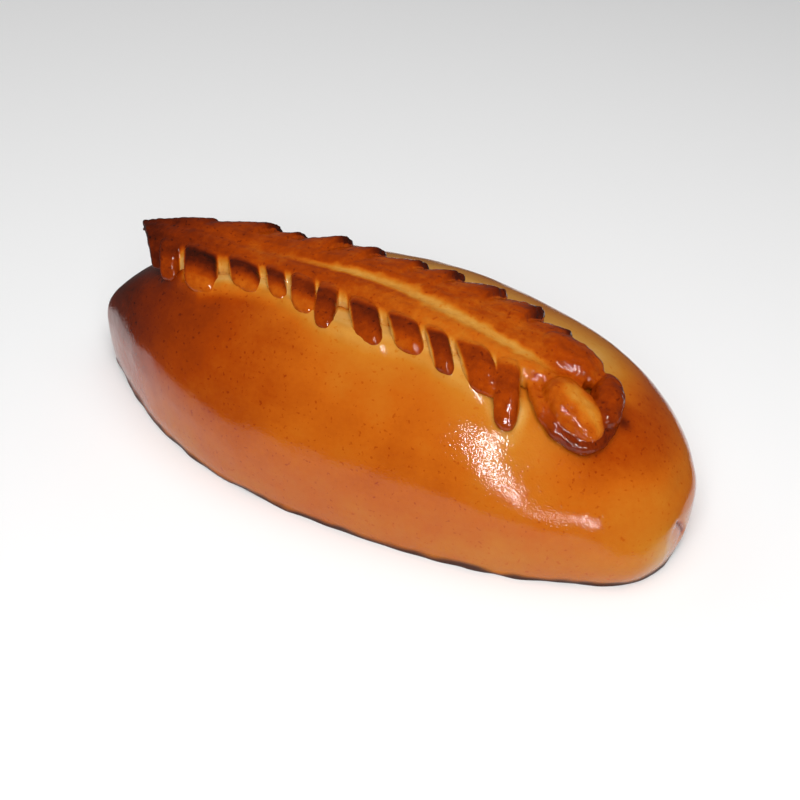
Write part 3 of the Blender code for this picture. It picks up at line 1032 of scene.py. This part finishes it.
def doughMaterial(name, finish):
    material = bpy.data.materials.new(name)
    material.use_nodes = True
    tree = material.node_tree
    shader = tree.nodes["Principled BSDF"]
    start = Wire(tree, None)
    place = start.node("ShaderNodeTexCoord", {}, {}, "Object")
    # the mask holds the dough's browning and the painted shade in its folds
    bake = start.node("ShaderNodeAttribute", {"attribute_name": "bake"}, {}, "Fac")
    foot = start.node("ShaderNodeAttribute", {"attribute_name": "foot"}, {}, "Fac")

    skin = doughSkin
    cloud = place.noise(*skin["cloud"]) - 0.5
    grain = place.noise(*skin["grain"]) - 0.5
    brushed = place.noise(*skin["brushed"]) - 0.5
    freckle = place.noise(*skin["freckle"]).rampUp(*skin["freckleEdge"])
    brown = bake + cloud * finish["cloud"] + grain * finish["grain"] + brushed * finish["brushed"]
    brown = (brown + freckle * finish["freckle"]).clipped()
    colour = brown.ramp(doughTones).mix(foot, skin["footTone"])
    tree.links.new(colour.socket, shader.inputs["Base Color"])

    gloss = finish["roughness"] + cloud * skin["cloudGloss"] + grain * skin["grainGloss"]
    gloss = (gloss + foot * skin["footGloss"]).clipped()
    tree.links.new(gloss.socket, shader.inputs["Roughness"])
    shader.inputs["Specular IOR Level"].default_value = finish["specular"]

    pores = place.noise(*skin["pores"]).rampUp(*skin["poreEdge"])
    height = place.noise(*finish["pimple"]) + grain * finish["grainDepth"]
    height = height + brushed * skin["brushedDepth"] + pores * skin["poreDepth"]
    sockets = {"Height": height, "Strength": 1.0, "Distance": finish["bump"]}
    tree.links.new(height.node("ShaderNodeBump", {}, sockets).socket, shader.inputs["Normal"])
    return material


def floorMaterial():
    material = bpy.data.materials.new("paleFloor")
    material.use_nodes = True
    shader = material.node_tree.nodes["Principled BSDF"]
    shader.inputs["Base Color"].default_value = studio["floorTone"]
    shader.inputs["Roughness"].default_value = studio["floorRoughness"]
    shader.inputs["Specular IOR Level"].default_value = studio["floorSpecular"]
    return material


studio = {
    "floorEdges": (0.0, 0.180, 4.0),
    "floorTone": (0.95, 0.95, 0.95, 1.0),
    "floorRoughness": 0.9,
    "floorSpecular": 0.1,
    "floorSides": 240,
    "floorWaves": ((5, 0.045), (11, 0.035), (23, 0.02)),
    "lightAim": (0, ridgeY, 0.04),
    "windowAim": (0.08, -0.05, 0.05),
    "world": 0.07,
    "cameraAzimuth": 27.6,
    "cameraElevation": 36.86,
    "cameraRoll": 0.71,
    "cameraDistance": 0.592,
    "targetHeight": 0.030,
    "lens": 63.8,
    "shift": (0.0300, -0.0152),
}

# Soft lights: azimuth, elevation and distance from the pie, size and power
softLights = {
    "key": (-64, 46, 1.3, (0.9, 0.9), 15.5),
    "top": (-20, 80, 1.3, (1.2, 1.2), 7.5),
    "fill": (160, 40, 1.4, (1.0, 1.0), 2.0),
}
# Windows that only show as reflections: top and bottom ends, width, power
windows = {
    "upperWindow": ((0.140, -0.570, 0.720), (0.178, -0.790, 0.470), 0.034, 3.6),
    "tallWindow": ((0.175, -0.785, 0.480), (0.285, -0.875, 0.110), 0.026, 3.1),
    "lowWindow": ((0.340, -0.850, 0.028), (0.640, -0.640, 0.018), 0.030, 0.8),
    "glint": ((0.560, -0.700, 0.030), (0.625, -0.650, 0.015), 0.055, 0.7),
}


def addLamp(name, place, matrix, size, power):
    lamp = bpy.data.lights.new(name, "AREA")
    lamp.shape = "RECTANGLE"
    lamp.size, lamp.size_y = size
    lamp.energy = power
    item = bpy.data.objects.new(name, lamp)
    item.matrix_world = Matrix.Translation(place) @ matrix
    item.visible_camera = False
    bpy.context.scene.collection.objects.link(item)
    return item


def addSoftLight(name, azimuth, elevation, distance, size, power):
    a, e = math.radians(azimuth), math.radians(elevation)
    away = Vector((math.cos(a) * math.cos(e), math.sin(a) * math.cos(e), math.sin(e)))
    matrix = away.to_track_quat("Z", "Y").to_matrix().to_4x4()
    item = addLamp(name, Vector(studio["lightAim"]) + distance * away, matrix, size, power)
    item.visible_glossy = False


def addWindow(name, top, bottom, width, power):
    top, bottom = Vector(top), Vector(bottom)
    middle = 0.5 * (top + bottom)
    upward = (top - bottom).normalized()
    away = middle - Vector(studio["windowAim"])
    away = (away - away.dot(upward) * upward).normalized()
    matrix = Matrix((upward.cross(away), upward, away)).transposed().to_4x4()
    item = addLamp(name, middle, matrix, (width, (top - bottom).length), power)
    item.visible_diffuse = False


def addCamera():
    a, e = math.radians(studio["cameraAzimuth"]), math.radians(studio["cameraElevation"])
    back = Vector((math.sin(a) * math.cos(e), -math.cos(a) * math.cos(e), math.sin(e)))
    target = Vector((0, ridgeY, studio["targetHeight"]))
    camera = bpy.data.cameras.new("photoCamera")
    camera.sensor_width = 36
    camera.lens = studio["lens"]
    camera.shift_x, camera.shift_y = studio["shift"]
    item = bpy.data.objects.new("photoCamera", camera)
    turn = back.to_track_quat("Z", "Y").to_matrix().to_4x4()
    roll = Matrix.Rotation(math.radians(studio["cameraRoll"]), 4, "Z")
    item.matrix_world = Matrix.Translation(target + studio["cameraDistance"] * back) @ turn @ roll
    bpy.context.scene.collection.objects.link(item)
    bpy.context.scene.camera = item


# A point on a wavy circle, so that the floor's reflection ends unevenly in the glaze
def floorPoint(radius, angle):
    wave = sum(height * math.sin(count * angle + count) for count, height in studio["floorWaves"])
    return radius * (1 + wave) * math.cos(angle), radius * (1 + wave) * math.sin(angle), 0


# A flat ring of floor, or a disc where it starts at the middle
def floorMesh(name, inner, outer):
    angles = [2 * math.pi * k / studio["floorSides"] for k in range(studio["floorSides"])]
    form = bmesh.new()
    edge = [form.verts.new(floorPoint(outer, a)) for a in angles]
    if inner > 0:
        hole = [form.verts.new(floorPoint(inner, a)) for a in angles]
        for k in range(len(angles)):
            following = (k + 1) % len(angles)
            form.faces.new((hole[k], edge[k], edge[following], hole[following]))
    else:
        form.faces.new(edge)
    mesh = bpy.data.meshes.new(name)
    form.to_mesh(mesh)
    form.free()
    return mesh


# Only the near floor shows in the glaze, as the far one would veil its colour
def addFloor():
    finish = floorMaterial()
    start, middle, end = studio["floorEdges"]
    for name, inner, outer in (("nearFloor", start, middle), ("farFloor", middle, end)):
        floor = addPiece(name, floorMesh(name, inner, outer))
        floor.data.materials.append(finish)
        floor.visible_glossy = inner == start


def addStudio():
    addFloor()
    world = bpy.data.worlds.new("studioWorld")
    world.use_nodes = True
    world.node_tree.nodes["Background"].inputs["Color"].default_value = (1, 1, 1, 1)
    world.node_tree.nodes["Background"].inputs["Strength"].default_value = studio["world"]
    bpy.context.scene.world = world
    bpy.context.scene.view_settings.view_transform = "Standard"
    for name, values in softLights.items():
        addSoftLight(name, *values)
    for name, values in windows.items():
        addWindow(name, *values)


addCamera()
addStudio()
print("camera, floor and lights placed")

crust = makeCrust()
crust.data.materials.append(doughMaterial("bakedCrust", crustFinish))
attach(crust, "root")
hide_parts("pie_crust")
print("crust made", len(crust.data.vertices))

doughStrip = makeStrip()
doughStrip.data.materials.clear()
doughStrip.data.materials.append(doughMaterial("bakedStrip", stripFinish))
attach(doughStrip, "root")
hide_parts("dough_strip")
print("strip made", len(doughStrip.data.vertices))
